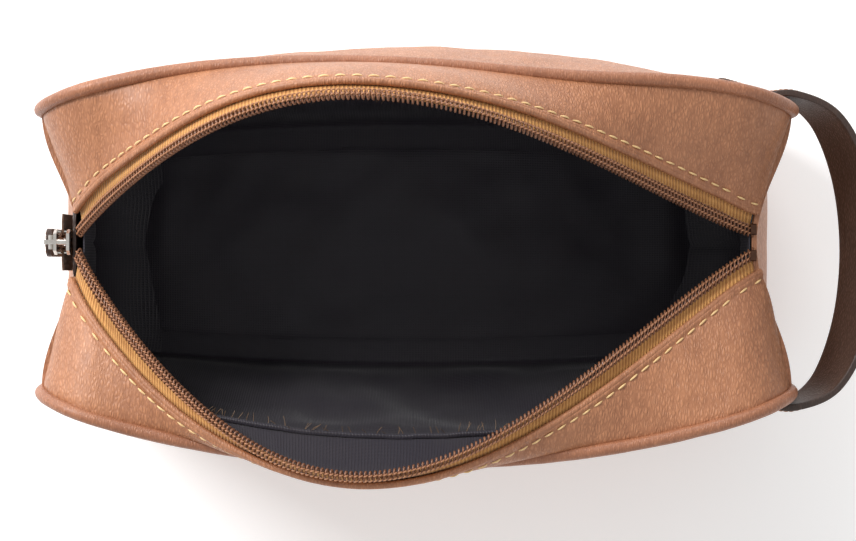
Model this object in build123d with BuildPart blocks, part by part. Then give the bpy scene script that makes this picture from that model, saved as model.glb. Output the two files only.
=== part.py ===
"""A zipped leather wash bag, standing open.

Padded panels in piped seams, a gusset round the base and ends, a coil zip and an end handle.

Millimetres. +X is right (the slider is at -X), +Y is back, +Z is up.
The origin is under the middle of the base.
The two halves of the zip are arcs that lean apart about the line through the two corners of the mouth.
"""

import os
from math import asin, cos, hypot, pi, radians, sin, sqrt

from build123d import *

os.makedirs("parts", exist_ok=True)

# ---- overall size ----
half_length = 132.0  # base centre to the piping at each end
base_half_width = 46.0  # at the ends of the base
base_bow = 4.0  # how much wider the base is at its middle
corner_low = 28.0  # radius of the panels' lower corners
corner_high = 24.0  # radius of the panels' upper corners

# ---- each panel: side, top edge's place at the ends and its bow, heights, bulge ----
back = {
    "side": 1,
    "top_end": 46.0,
    "top_bow": 15.0,
    "power": 3.0,
    "high_end": 121.0,
    "high_mid": 130.0,
    "bulge": 14.0,
}
front = {
    "side": -1,
    "top_end": 54.0,
    "top_bow": 22.0,
    "power": 2.2,
    "high_end": 119.0,
    "high_mid": 118.0,
    "bulge": 5.0,
}

# ---- layers of the wall, from the outside in ----
leather = 1.6
padding = 2.0
lining = 0.8
gap = 0.3  # clearance between soft layers
padding_margin = 8.0
lining_margin = 5.5

# ---- piping ----
piping_radius = 2.25
cord_radius = 1.4
cord_clearance = 0.05
piping_joint = 0.4  # gap where the two ends meet under the base
seam_lift = 0.15  # piping's underside above the table
seam_clearance = 0.35  # edge of a panel or of the base band to the piping's skin
strip_clearance = 0.75  # edge of a strip to the piping's skin
panel_margin = piping_radius + seam_clearance
band_margin = piping_radius + seam_clearance
strip_margin = piping_radius + strip_clearance

# ---- mouth and zip ----
mouth_half = 119.0  # middle to each corner of the mouth
mouth_height = 97.0  # height of the corners
arc_rise = 88.0  # how far a zip half stands from the line through the corners
arc_skew = 0.8  # below 1 moves the top of the arc to the left
arc_power = 1.15
lean = {1: 60.0, -1: 30.5}  # degrees above the table, back and front
half_gap = 1.6  # zip edge to the middle plane at the corners
zip_end_inset = 2.0
tape_width = 13.0
tape_thickness = 0.8
coil_width = 4.6
coil_thickness = 2.3
strip_edge = 8.5  # zip edge to the folded edge of the leather strip
strip_gap = 0.5  # leather strip, tape and strip lining, face to face
strip_lining_edge = 14.0
strip_lining_margin = 9.0

# ---- base and ends ----
band = 1.8  # thickness of the gusset leather
band_radius = 30.0
end_stand = 1.0  # outer face of the ends beyond the piping's centre
board = 2.0
board_inset = 4.0
end_step_low = 30.0  # height where the ends start to fold in
end_step_high = 62.0  # height where they stand upright again
end_top = 94.0
end_fold_x = 119.7  # outer face of the upright part

# ---- slider and the closed tail of the zip ----
plate = 1.1
chain_thickness = 2.9
chain_clearance = 0.25
slider_nose_width = 9.0
slider_tail_width = 8.0
slider_low = 88.5
slider_high = 99.5
slider_bore = 7.0  # width between the flanges
flange_depth = 1.1
post_width = 2.0
post_length = 3.3
tail_coil_in = 1.2
tail_coil_out = 3.2
tail_low = 65.3
tail_high = 95.2
tail_tape_out = 10.0
tail_tape = 0.6
stop_height = 3.0
tab_width = 26.0
tab_thickness = 1.5
tab_clearance = 0.35

# ---- bridge and pull ----
bridge_width = 1.6
bridge_reach = 3.85
bridge_wall = 1.4
bridge_low = 90.5
bridge_high = 98.0
pivot_z = 94.6
pivot_out = 1.45  # pivot to the outer plate
pin_radius = 0.9
arm_in = 1.3
arm_out = 2.5
arm_thickness = 1.6
link_plate_top = 84.0
link_low = 78.0
pull_width = 10.0
pull_thickness = 2.2
pull_low = 56.0
pull_high = 86.0
rivet_radius = 1.2
rivet_clearance = 0.05
rivet_head_radius = 2.1
rivet_head = 0.6
rivet_z = 81.0

# ---- handle at the right end ----
handle_z = 88.0
handle_width = 24.0
handle_thickness = 2.6
handle_reach = 26.0  # how far it bows past the piping
handle_neck = 8.0
handle_axis_x = half_length - 4.5
handle_end_gap = 1.5
handle_end_length = 18.0
handle_end_thickness = 2.0

half_stations = [0.1, 0.2, 0.3, 0.4, 0.5, 0.6, 0.7, 0.8, 0.88, 0.94, 0.98, 1.0]
stations = [*(-share for share in reversed(half_stations)), 0.0, *half_stations]
levels = [0.0, 0.2, 0.4, 0.6, 0.8, 1.0]


def corner_drop(x, radius, inset):
    """How far a rounded corner, inset from the seam, has left its straight edge at x."""
    past = abs(x) - (half_length - radius)
    inner = radius - inset
    return inner - sqrt(max(0.0, inner**2 - past**2)) if past > 0 else 0.0


def edge_low(x, inset=0.0):
    return piping_radius + seam_lift + inset + corner_drop(x, corner_low, inset)


def edge_high(panel, x, inset=0.0):
    u = x / half_length
    straight = panel["high_end"] + (panel["high_mid"] - panel["high_end"]) * (1 - u * u)
    return straight - inset - corner_drop(x, corner_high, inset)


def wall_y(panel, x, z):
    """Distance of the panel's outer face from the middle plane."""
    u = min(1.0, abs(x) / half_length)
    s = min(1.0, max(0.0, z / max(panel["high_mid"], panel["high_end"])))
    low = base_half_width + base_bow * (1 - u * u)
    high = panel["top_end"] + panel["top_bow"] * (1 - u ** panel["power"])
    return (1 - s) * low + s * high + panel["bulge"] * (1 - u * u) * sin(pi * s)


def zip_point(panel, x):
    """The zip edge at x, as distance from the middle plane and height."""
    t = (x + mouth_half) / (2 * mouth_half)
    rise = arc_rise * sin(pi * t**arc_skew) ** arc_power
    angle = radians(lean[panel["side"]])
    return half_gap + rise * cos(angle), mouth_height + rise * sin(angle)


def wall_layer(panel, depth, thickness, margin):
    """One layer of a whole panel, its outer face at a depth behind the panel's face."""
    reach = half_length - margin
    places = [reach * share for share in stations]
    rows = [(x, edge_low(x, margin), edge_high(panel, x, margin)) for x in places]
    return wall_piece(panel, depth, thickness, rows)


def wall_piece(panel, depth, thickness, rows):
    """A piece that follows a panel, from rows of place along X, lowest and highest point."""
    side = panel["side"]
    with BuildPart() as layer:
        for x, low, high in rows:
            heights = [low + (high - low) * level for level in levels]
            outer = [(side * (wall_y(panel, x, z) - depth), z) for z in heights]
            inner = [(side * (wall_y(panel, x, z) - depth - thickness), z) for z in reversed(heights)]
            with BuildSketch(Plane.YZ.offset(x)):
                with BuildLine():
                    Polyline(*outer, *inner, close=True)
                make_face()
        loft(ruled=True)
    return layer.part


def strip_layer(panel, from_zip, margin, low, high, length=None):
    """A strip between zip and piping: from_zip and margin along it, low and high across it."""
    side = panel["side"]
    reach = mouth_half - zip_end_inset
    with BuildPart() as layer:
        for share in stations:
            x = reach * share
            y, z = zip_point(panel, x)
            seam_z = edge_high(panel, x)
            seam_y = wall_y(panel, x, seam_z)
            width = hypot(seam_y - y, seam_z - z)
            along = ((seam_y - y) / width, (seam_z - z) / width)
            across = (-along[1], along[0])
            stop = from_zip + length if length else width - margin
            corners = [(from_zip, low), (stop, low), (stop, high), (from_zip, high)]
            points = [
                (side * (y + a * along[0] + c * across[0]), z + a * along[1] + c * across[1])
                for a, c in corners
            ]
            with BuildSketch(Plane.YZ.offset(x)):
                with BuildLine():
                    Polyline(*points, close=True)
                make_face()
        loft(ruled=True)
    return layer.part


def seam_path(panel):
    """Points round the seam of a panel, from under the base and back to it."""
    flat_low = half_length - corner_low
    flat_high = half_length - corner_high
    steps = 5
    points = [(piping_joint / 2, edge_low(0)), (flat_low / 2, edge_low(0)), (flat_low, edge_low(flat_low))]
    for i in range(1, steps + 1):
        x = flat_low + corner_low * sin(pi / 2 * i / steps)
        points.append((x, edge_low(0) + corner_low * (1 - cos(pi / 2 * i / steps))))
    for i in range(steps + 1):
        x = flat_high + corner_high * cos(pi / 2 * i / steps)
        top = edge_high(panel, x) + corner_drop(x, corner_high, 0)
        points.append((x, top - corner_high * (1 - sin(pi / 2 * i / steps))))
    for share in (0.75, 0.5, 0.25):
        points.append((flat_high * share, edge_high(panel, flat_high * share)))
    mirrored = [(-x, z) for x, z in reversed(points)]
    points = [*points, (0, edge_high(panel, 0)), *mirrored]
    return [Vector(x, panel["side"] * wall_y(panel, x, z), z) for x, z in points]


def seam_tube(panel, radius):
    """A tube round a panel's seam, open where its two ends meet."""
    points = seam_path(panel)
    with BuildPart() as tube:
        for i, point in enumerate(points):
            before = points[max(0, i - 1)]
            after = points[min(len(points) - 1, i + 1)]
            with BuildSketch(Plane(origin=point, x_dir=(0, 1, 0), z_dir=(after - before).normalized())):
                Circle(radius)
        loft(ruled=True)
    return tube.part


def end_profile(depth, thickness, top):
    """Section of an end wall in X and Z: along the base, round the corner, in to the fold and up."""
    base_x = half_length + end_stand - band_radius + gap / 2

    def offset_line(inset):
        fold_run = half_length + end_stand - end_fold_x
        fold_angle = asin(fold_run / hypot(fold_run, end_step_high - end_step_low))
        shift = inset * (1 - cos(fold_angle)) / sin(fold_angle)
        x_low = half_length + end_stand - inset
        x_high = end_fold_x - inset
        corner = (half_length + end_stand - band_radius, band_radius)
        radius = band_radius - inset
        middle = (corner[0] + radius * sin(pi / 4), corner[1] - radius * cos(pi / 4))
        return (
            (base_x, inset),
            (corner[0] + 0.2, inset),
            middle,
            (x_low, band_radius),
            (x_low, end_step_low + shift + 0.5),
            (x_high, end_step_high + shift),
            (x_high, top),
        )

    return offset_line(depth), offset_line(depth + thickness)


def end_wall(direction, depth, thickness, top, half_width):
    """A wall of an end gusset, right for direction 1 and left for -1."""
    outer, inner = end_profile(depth, thickness, top)

    def place(point):
        return direction * point[0], point[1]

    with BuildPart() as wall:
        with BuildSketch(Plane.XZ.offset(-half_width)):
            with BuildLine():
                for line in (outer, inner):
                    placed = [place(point) for point in line]
                    base, arc_start, arc_middle, arc_end, fold_low, fold_high, tip = placed
                    Line(base, arc_start)
                    ThreePointArc(arc_start, arc_middle, arc_end)
                    Polyline(arc_end, fold_low, fold_high, tip)
                Line(place(outer[0]), place(inner[0]))
                Line(place(outer[-1]), place(inner[-1]))
            make_face()
        extrude(amount=2 * half_width)
    return wall.part


def write(part, name):
    part.label = name
    export_step(part, f"parts/{name}.step")


# ---- panels, padding, linings, piping and top strips, back and front ----
for panel, name in ((back, "back"), (front, "front")):
    write(wall_layer(panel, 0, leather, panel_margin), f"{name}_panel")
    write(wall_layer(panel, leather + gap, padding, padding_margin), f"panel_padding_{name}")
    write(wall_layer(panel, leather + padding + 2 * gap, lining, lining_margin), f"lining_{name}")

    cover_channel = seam_tube(panel, cord_radius + cord_clearance)
    with BuildPart() as piping_cover:
        add(seam_tube(panel, piping_radius))
        add(cover_channel, mode=Mode.SUBTRACT)
    write(piping_cover.part, f"piping_cover_{name}")
    write(seam_tube(panel, cord_radius), f"piping_cord_{name}")

    half_leather = leather / 2
    tape_top = -half_leather - strip_gap
    tape_bottom = tape_top - tape_thickness
    lining_top = tape_bottom - strip_gap
    write(strip_layer(panel, strip_edge, strip_margin, -half_leather, half_leather), f"top_strip_{name}")
    write(
        strip_layer(panel, strip_lining_edge, strip_lining_margin, lining_top - lining, lining_top),
        f"strip_lining_{name}",
    )
    write(strip_layer(panel, gap, 0, tape_bottom, tape_top, tape_width), f"zip_tape_{name}")
    coil_low = tape_top + gap
    coil = strip_layer(panel, 0, 0, coil_low, coil_low + coil_thickness, coil_width)
    write(coil, f"zip_coil_{name}")

    stop_y, stop_z = zip_point(panel, mouth_half - zip_end_inset)
    with BuildPart() as top_stop:
        with BuildSketch(Plane.YZ.offset(mouth_half - zip_end_inset + gap / 2)):
            with Locations((panel["side"] * (stop_y + coil_width / 2), stop_z + coil_thickness / 2)):
                RectangleRounded(coil_width - 0.6, coil_thickness + 0.8, 1.0)
        extrude(amount=zip_end_inset)
    write(top_stop.part, f"top_stop_{name}")

# ---- base ----
base_x = half_length + end_stand - band_radius - gap / 2
base_edge = wall_y(back, base_x, 0) - band_margin
base_middle = wall_y(back, 0, 0) - band_margin

with BuildPart() as base_gusset:
    with BuildSketch():
        with BuildLine():
            ThreePointArc((-base_x, base_edge), (0, base_middle), (base_x, base_edge))
            Line((base_x, base_edge), (base_x, -base_edge))
            ThreePointArc((base_x, -base_edge), (0, -base_middle), (-base_x, -base_edge))
            Line((-base_x, -base_edge), (-base_x, base_edge))
        make_face()
    extrude(amount=band)
write(base_gusset.part, "base_gusset")

board_low = band + gap
with BuildPart() as base_board:
    with BuildSketch(Plane.XY.offset(board_low)):
        RectangleRounded(2 * (base_x - board_inset), 2 * (base_edge - board_inset), 8)
    extrude(amount=board)
write(base_board.part, "base_board")

with BuildPart() as lining_base:
    with BuildSketch(Plane.XY.offset(board_low + board + gap)):
        RectangleRounded(2 * (base_x - board_inset), 2 * (base_edge - board_inset), 8)
    extrude(amount=lining)
write(lining_base.part, "lining_base")

# ---- end gussets and their linings ----
end_places = [(panel, z) for panel in (back, front) for z in (0, end_top)]
narrowest = min(wall_y(panel, half_length, z) for panel, z in end_places)
end_half = narrowest - leather - padding - lining - 4 * gap
for direction, name in ((1, "right"), (-1, "left")):
    write(end_wall(direction, 0, band, end_top, end_half), f"end_gusset_{name}")
    write(end_wall(direction, band + gap, lining, end_top - 2, end_half - 2), f"lining_end_{name}")

# ---- closed tail of the zip, on a dark leather tab at the left end ----
tab_x = -end_fold_x - gap
with BuildPart() as end_tab:
    with BuildSketch(Plane.YZ.offset(tab_x)):
        with Locations((0, (end_step_high + 2 + end_top) / 2)):
            RectangleRounded(tab_width, end_top - end_step_high - 2, 4)
    extrude(amount=-tab_thickness)
write(end_tab.part, "end_tab")

inner_plate_x = tab_x - tab_thickness - tab_clearance
chain_in = inner_plate_x - plate - chain_clearance
chain_out = chain_in - chain_thickness
outer_plate_x = chain_out - chain_clearance
slider_face = outer_plate_x - plate
chain_mid = (chain_in + chain_out) / 2
tail_mid_z = (tail_low + tail_high) / 2
tail_length = tail_high - tail_low

for side, name in ((1, "back"), (-1, "front")):
    with BuildPart() as tail_coil:
        with BuildSketch(Plane.YZ.offset(chain_in)):
            with Locations((side * (tail_coil_in + tail_coil_out) / 2, tail_mid_z)):
                Rectangle(tail_coil_out - tail_coil_in, tail_length)
        extrude(amount=-chain_thickness)
    write(tail_coil.part, f"tail_coil_{name}")

    with BuildPart() as tail_tape_part:
        with BuildSketch(Plane.YZ.offset(chain_mid + tail_tape / 2)):
            with Locations((side * (tail_coil_out + 0.05 + tail_tape_out) / 2, tail_mid_z)):
                Rectangle(tail_tape_out - tail_coil_out - 0.05, tail_length)
        extrude(amount=-tail_tape)
    write(tail_tape_part.part, f"tail_tape_{name}")

with BuildPart() as bottom_stop:
    with BuildSketch(Plane.YZ.offset(chain_in + chain_clearance)):
        with Locations((0, tail_low - gap - stop_height / 2)):
            RectangleRounded(2 * tail_coil_out + 0.8, stop_height, 0.6)
    extrude(amount=-(chain_thickness + 2 * chain_clearance))
write(bottom_stop.part, "bottom_stop")

# ---- slider ----
slider_mid_z = (slider_low + slider_high) / 2
with BuildPart() as slider_body:
    for face_x in (inner_plate_x, outer_plate_x):
        with BuildSketch(Plane.YZ.offset(face_x)):
            with BuildLine():
                Polyline(
                    (-slider_tail_width / 2, slider_low),
                    (slider_tail_width / 2, slider_low),
                    (slider_nose_width / 2, slider_high - 3),
                    (slider_nose_width / 2 - 1.5, slider_high),
                    (-slider_nose_width / 2 + 1.5, slider_high),
                    (-slider_nose_width / 2, slider_high - 3),
                    close=True,
                )
            make_face()
        extrude(amount=-plate)
    with BuildSketch(Plane.YZ.offset(inner_plate_x - plate / 2)):
        with Locations((0, slider_high - 0.2 - post_length / 2)):
            RectangleRounded(post_width, post_length, 0.8)
    extrude(amount=-(inner_plate_x - outer_plate_x))
    flange_out = slider_tail_width / 2
    flange_wall = flange_out - slider_bore / 2
    flange_mid = flange_out - flange_wall / 2
    for flange_x in (inner_plate_x - plate / 2, chain_out - chain_clearance + flange_depth):
        with BuildSketch(Plane.YZ.offset(flange_x)):
            with Locations((flange_mid, slider_mid_z - 1.5), (-flange_mid, slider_mid_z - 1.5)):
                Rectangle(flange_wall, slider_high - slider_low - 3)
        extrude(amount=-(flange_depth + plate / 2))
write(slider_body.part, "slider_body")

bridge_mid_z = (bridge_low + bridge_high) / 2
bridge_height = bridge_high - bridge_low
hole_reach = bridge_reach - bridge_wall
with BuildPart() as slider_bridge:
    with BuildSketch(Plane.XZ.offset(-bridge_width / 2)):
        with Locations((slider_face - bridge_reach / 2, bridge_mid_z)):
            Rectangle(bridge_reach, bridge_height)
        with Locations((slider_face - hole_reach / 2, bridge_mid_z)):
            Rectangle(hole_reach, bridge_height - 2 * bridge_wall, mode=Mode.SUBTRACT)
    extrude(amount=bridge_width)
    fillet(slider_bridge.edges().filter_by(Axis.Y).group_by(Axis.X)[0], bridge_wall * 0.8)
write(slider_bridge.part, "slider_bridge")

# ---- pull ----
pivot_x = slider_face - pivot_out
link_x = pivot_x + arm_thickness / 2
with BuildPart() as pull_link:
    with BuildSketch(Plane.YZ.offset(link_x)):
        with Locations((0, (link_low + pivot_z) / 2)):
            Rectangle(2 * arm_out, pivot_z - link_low)
        with Locations((0, (link_plate_top + pivot_z + arm_thickness) / 2)):
            Rectangle(2 * arm_in, pivot_z + arm_thickness - link_plate_top, mode=Mode.SUBTRACT)
    extrude(amount=-arm_thickness)
    with BuildSketch(Plane.XZ.offset(-arm_out)):
        with Locations((pivot_x, pivot_z)):
            Circle(pin_radius)
    extrude(amount=2 * arm_out)
    with BuildSketch(Plane.YZ.offset(link_x)):
        with Locations((0, rivet_z)):
            Circle(rivet_radius + rivet_clearance)
    extrude(amount=-arm_thickness, mode=Mode.SUBTRACT)
write(pull_link.part, "pull_link")

pull_x = link_x - arm_thickness - gap
with BuildPart() as pull_tab:
    with BuildSketch(Plane.YZ.offset(pull_x)):
        with Locations((0, (pull_low + pull_high) / 2)):
            RectangleRounded(pull_width, pull_high - pull_low, 3)
        with Locations((0, rivet_z)):
            Circle(rivet_radius + rivet_clearance, mode=Mode.SUBTRACT)
    extrude(amount=-pull_thickness)
write(pull_tab.part, "pull_tab")

with BuildPart() as pull_rivet:
    with BuildSketch(Plane.YZ.offset(link_x + gap / 2)):
        with Locations((0, rivet_z)):
            Circle(rivet_radius)
    extrude(amount=-(arm_thickness + 2 * gap + pull_thickness))
    for head_x, grow in ((link_x + gap / 2, rivet_head), (pull_x - pull_thickness - gap / 2, -rivet_head)):
        with BuildSketch(Plane.YZ.offset(head_x)):
            with Locations((0, rivet_z)):
                Circle(rivet_head_radius)
        extrude(amount=grow)
write(pull_rivet.part, "pull_rivet")

# ---- handle: two ends sewn to the panels and a loop between them ----
handle_low = handle_z - handle_width / 2
handle_high = handle_z + handle_width / 2
end_start = handle_axis_x - handle_end_gap - handle_end_length
for panel, name in ((back, "back"), (front, "front")):
    rows = [(end_start + handle_end_length * step / 4, handle_low, handle_high) for step in range(5)]
    patch = wall_piece(panel, -handle_end_thickness - gap, handle_end_thickness, rows)
    write(patch, f"handle_end_{name}")

loop_start = handle_axis_x + handle_end_gap
loop_back = wall_y(back, half_length, handle_high) + piping_radius + gap + handle_thickness
loop_front = wall_y(front, half_length, handle_high) + piping_radius + gap + handle_thickness
loop_x = half_length + handle_reach
with BuildPart() as handle_strap:
    with BuildSketch(Plane.XY.offset(handle_low)):
        with BuildLine():
            FilletPolyline(
                (loop_start, loop_back),
                (half_length + 6, loop_back),
                (loop_x, loop_back * 0.55),
                (loop_x, -loop_front * 0.55),
                (half_length + 6, -loop_front),
                (loop_start, -loop_front),
                radius=8,
            )
        trace(line_width=handle_thickness)
    extrude(amount=handle_width)
    with BuildSketch(Plane.XZ.offset(-2 * loop_front)):
        with BuildLine():
            Polyline(
                (loop_start - 1, handle_z - handle_neck / 2),
                (loop_start + 12, handle_low),
                (loop_x + handle_thickness, handle_low),
                (loop_x + handle_thickness, handle_high),
                (loop_start + 12, handle_high),
                (loop_start - 1, handle_z + handle_neck / 2),
                close=True,
            )
        make_face()
    extrude(amount=4 * loop_front, mode=Mode.INTERSECT)
write(handle_strap.part, "handle_strap")
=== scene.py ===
# %% [markdown]
# A leather wash bag, standing open on a pale floor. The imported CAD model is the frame: it holds the size,
# the bodies and the joints. This file makes what the eye sees around it: leather, piping, stitching, the
# coil zip and the woven lining. Everything is in metres, with +X to the right, +Y to the back and +Z up, so
# a piece goes straight where the frame says.

from math import copysign, cos, exp, hypot, pi, radians, sin, sqrt

import bpy
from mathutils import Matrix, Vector, noise


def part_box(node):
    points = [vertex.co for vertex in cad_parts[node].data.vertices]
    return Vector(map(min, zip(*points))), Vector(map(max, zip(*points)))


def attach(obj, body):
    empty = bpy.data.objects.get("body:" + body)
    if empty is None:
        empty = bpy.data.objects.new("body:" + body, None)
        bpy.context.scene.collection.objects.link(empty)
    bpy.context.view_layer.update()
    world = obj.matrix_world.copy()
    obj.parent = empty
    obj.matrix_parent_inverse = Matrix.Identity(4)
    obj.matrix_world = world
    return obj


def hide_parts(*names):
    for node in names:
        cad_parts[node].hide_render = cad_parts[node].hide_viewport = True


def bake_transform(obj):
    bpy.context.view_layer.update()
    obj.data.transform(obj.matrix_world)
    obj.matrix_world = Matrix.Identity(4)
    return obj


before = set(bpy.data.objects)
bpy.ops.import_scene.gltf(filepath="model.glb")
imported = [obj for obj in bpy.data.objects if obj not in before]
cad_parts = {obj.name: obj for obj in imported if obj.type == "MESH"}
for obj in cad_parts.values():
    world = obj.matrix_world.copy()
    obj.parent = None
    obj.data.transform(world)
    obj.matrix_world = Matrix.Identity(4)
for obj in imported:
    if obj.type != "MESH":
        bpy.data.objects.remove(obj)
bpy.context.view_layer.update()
for loaded in list(bpy.context.selected_objects):
    loaded.select_set(False)

# %% [markdown]
# The camera looks straight down into the open mouth, with the back of the bag at the top of the picture. A
# long lens from most of a metre away keeps the near lips from swelling. The light is one large soft source
# up and to the left, a weak one to the right, a low one behind that puts a sheen on the back lip, and an
# even white world, as in a product studio.

# %% Camera, light and floor
LENS = 0.102
SENSOR = 0.036
CAMERA_HEIGHT = 0.95
CAMERA_X = 0.004
CAMERA_Y = -0.010

scene = bpy.context.scene
scene.view_settings.view_transform = "Standard"

camera_data = bpy.data.cameras.new("camera")
camera_data.lens = LENS * 1000
camera_data.sensor_width = SENSOR * 1000
camera_data.clip_start = 0.01
camera = bpy.data.objects.new("camera", camera_data)
camera.location = (CAMERA_X, CAMERA_Y, CAMERA_HEIGHT)
scene.collection.objects.link(camera)
scene.camera = camera


def soft_light(name, place, aim, size, power):
    """A square area light of a size at a place, turned to face a point."""
    data = bpy.data.lights.new(name, "AREA")
    data.size = size
    data.energy = power
    lamp = bpy.data.objects.new(name, data)
    lamp.location = place
    lamp.rotation_euler = (Vector(aim) - Vector(place)).to_track_quat("-Z", "Y").to_euler()
    scene.collection.objects.link(lamp)
    return lamp


soft_light("key", (-0.8, 0.55, 0.75), (0, 0, 0.1), 0.45, 13.0)
soft_light("fill", (0.7, -0.6, 0.9), (0, 0, 0.08), 0.8, 0.5)
soft_light("rim", (-0.1, 1.1, 0.45), (0, 0.05, 0.12), 0.5, 5.0)

world = bpy.data.worlds.new("studio")
world.use_nodes = True
world.node_tree.nodes["Background"].inputs["Color"].default_value = (1.0, 1.0, 1.0, 1.0)
world.node_tree.nodes["Background"].inputs["Strength"].default_value = 0.66
scene.world = world

bpy.ops.mesh.primitive_grid_add(x_subdivisions=8, y_subdivisions=8, size=6)
floor = bpy.context.object
floor.name = "floor"
print("camera at", tuple(camera.location))

# %% [markdown]
# Every finish is a small graph of shader nodes. Writing `grain * 0.5 + 0.2` is easier to read than a dozen
# lines that add and link Math nodes, so a wrapped socket knows how to add them by itself.


# %% A socket that does arithmetic, and a finish that holds one material
class Wire:
    """A node's output. Arithmetic on it adds Math nodes."""

    def __init__(self, finish, socket):
        self.finish = finish
        self.socket = socket

    def math(self, operation, first, second, clamp=False):
        settings = {"operation": operation, "use_clamp": clamp}
        return self.finish.node("ShaderNodeMath", settings, [first, second])

    def __add__(self, other):
        return self.math("ADD", self, other)

    def __sub__(self, other):
        return self.math("SUBTRACT", self, other)

    def __rsub__(self, other):
        return self.math("SUBTRACT", other, self)

    def __mul__(self, other):
        return self.math("MULTIPLY", self, other)

    def __pow__(self, other):
        return self.math("POWER", self, other)

    def clamped(self):
        return self.math("ADD", self, 0.0, clamp=True)

    __radd__ = __add__
    __rmul__ = __mul__


class Finish:
    """One material: a Principled shader and the nodes that feed it."""

    def __init__(self, name, **constants):
        self.material = bpy.data.materials.new(name)
        self.material.use_nodes = True
        self.tree = self.material.node_tree
        self.shader = self.tree.nodes["Principled BSDF"]
        for socket, value in constants.items():
            self.shader.inputs[socket.replace("_", " ")].default_value = value

    def plug(self, value, socket):
        if isinstance(value, Wire):
            self.tree.links.new(value.socket, socket)
        else:
            socket.default_value = value

    def node(self, kind, settings=None, inputs=(), output=0):
        made = self.tree.nodes.new(kind)
        for key, value in (settings or {}).items():
            if key == "stops":
                for stop, (place, colour) in zip(self.ramp_stops(made, len(value)), value):
                    stop.position = place
                    stop.color = colour
            else:
                setattr(made, key, value)
        named = inputs.items() if isinstance(inputs, dict) else enumerate(inputs)
        for key, value in named:
            self.plug(value, made.inputs[key])
        return Wire(self, made.outputs[output])

    @staticmethod
    def ramp_stops(made, count):
        while len(made.color_ramp.elements) < count:
            made.color_ramp.elements.new(0.5)
        return made.color_ramp.elements

    def mix(self, factor, first, second):
        return self.node("ShaderNodeMix", {"data_type": "RGBA"}, {0: factor, 6: first, 7: second}, output=2)

    def place(self, source="Object"):
        return self.node("ShaderNodeTexCoord", output=source)

    def cloud(self, vector, scale, detail=3.0, roughness=0.5):
        settings = {"Vector": vector, "Scale": scale, "Detail": detail, "Roughness": roughness}
        return self.node("ShaderNodeTexNoise", inputs=settings, output="Fac")

    def bump(self, height, depth, strength=1.0, under=None):
        inputs = {"Height": height, "Distance": depth, "Strength": strength}
        if under is not None:
            inputs["Normal"] = under
        return self.node("ShaderNodeBump", inputs=inputs)

    def feed(self, **sockets):
        for socket, value in sockets.items():
            self.plug(value, self.shader.inputs[socket.replace("_", " ")])


def colour(red, green, blue):
    """A colour given as the eye's 0 to 255 values, made linear for the shader."""
    def linear(value):
        share = value / 255
        return share / 12.92 if share <= 0.04045 else ((share + 0.055) / 1.055) ** 2.4

    return linear(red), linear(green), linear(blue), 1.0


# %% [markdown]
# Tumbled leather is covered in small rounded pebbles with creases between them. A Voronoi pattern's
# distance to the nearest cell edge is exactly that: high in the middle of a pebble and zero in the crease.
# Bending its coordinates with noise stops the cells from looking like tiles. The colour is painted lighter on
# the pebbles and ridges and darker in the creases between them, as painted shade, and it varies at random over
# the hide as the hide's own tone; both are mixed into the colour.


# %% Leather
def leather(name, light, dark, grain, depth, roughness, coat=0.0):
    """Pebbled leather: grain is pebbles to the metre, depth the height of one in metres."""
    finish = Finish(name, Specular_IOR_Level=0.45, Coat_Weight=coat, Coat_Roughness=0.42)
    stretch = {"Vector": finish.place(), "Rotation": (0.0, 0.0, 0.35), "Scale": (1.6, 0.55, 0.9)}
    place = finish.node("ShaderNodeMapping", inputs=stretch)
    noise = {"Vector": place, "Scale": grain * 0.45}
    wander = finish.node("ShaderNodeTexNoise", inputs=noise, output="Color")
    drift = finish.node("ShaderNodeVectorMath", {"operation": "SCALE"}, {0: wander, "Scale": 0.9 / grain})
    bent = finish.node("ShaderNodeVectorMath", {"operation": "ADD"}, {0: place, 1: drift})
    cells = {"Vector": bent, "Scale": grain, "Randomness": 0.95}
    edge = finish.node("ShaderNodeTexVoronoi", {"feature": "DISTANCE_TO_EDGE"}, cells, output="Distance")
    rounded = {"interpolation_type": "SMOOTHSTEP"}
    pebble = finish.node("ShaderNodeMapRange", rounded, [edge, 0.0, 0.38, 0.0, 1.0])
    pores = finish.cloud(place, grain * 3.1, 2.0)
    ridge = finish.cloud(place, grain * 0.5, 2.5, 0.5)
    hide = finish.cloud(place, 26.0, 4.0, 0.6)
    patches = finish.cloud(place, 190.0, 3.0, 0.6)
    # painted shade: the pebble and ridge terms darken the colour in the creases and low parts of the grain; the
    # hide and patches terms are the hide's own uneven tone
    shade = (hide * 0.6 + patches * 0.3 + pebble * 0.3 + ridge * 0.5 - 0.35).clamped()
    finish.feed(
        Base_Color=finish.mix(shade, dark, light),
        Roughness=(roughness + 0.16 * (1.0 - pebble) + 0.12 * (patches - 0.5)).clamped(),
        Normal=finish.bump(pebble * 0.75 + pores * 0.05 + ridge * 1.8, depth, 0.9),
    )
    return finish.material


GRAIN = 680.0
TAN = (colour(200, 138, 98), colour(130, 80, 52))
PIPED = (colour(184, 124, 90), colour(124, 76, 52))
DARK = (colour(74, 52, 42), colour(38, 26, 21))
tan_leather = leather("tan_leather", *TAN, GRAIN, 0.0002, 0.4, 0.22)
piping_leather = leather("piping_leather", *PIPED, GRAIN * 1.3, 0.00014, 0.36, 0.2)
dark_leather = leather("dark_leather", *DARK, GRAIN * 1.2, 0.00014, 0.34, 0.2)
print("leathers", tan_leather.name, piping_leather.name, dark_leather.name)


# %% [markdown]
# The lining is a thin nylon cloth with a square ripstop grid, almost black. The weave follows the cloth, so
# it is drawn on the piece's own UV map, which holds metres: the grid stays 0.95 mm wherever the cloth goes.


# %% Woven finishes
def threads(finish, along, pitch):
    """0 between threads to 1 on top of one, for threads a pitch apart."""
    wave = finish.node("ShaderNodeMath", {"operation": "SINE"}, [along * (2 * pi / pitch)])
    return wave * 0.5 + 0.5


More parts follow.
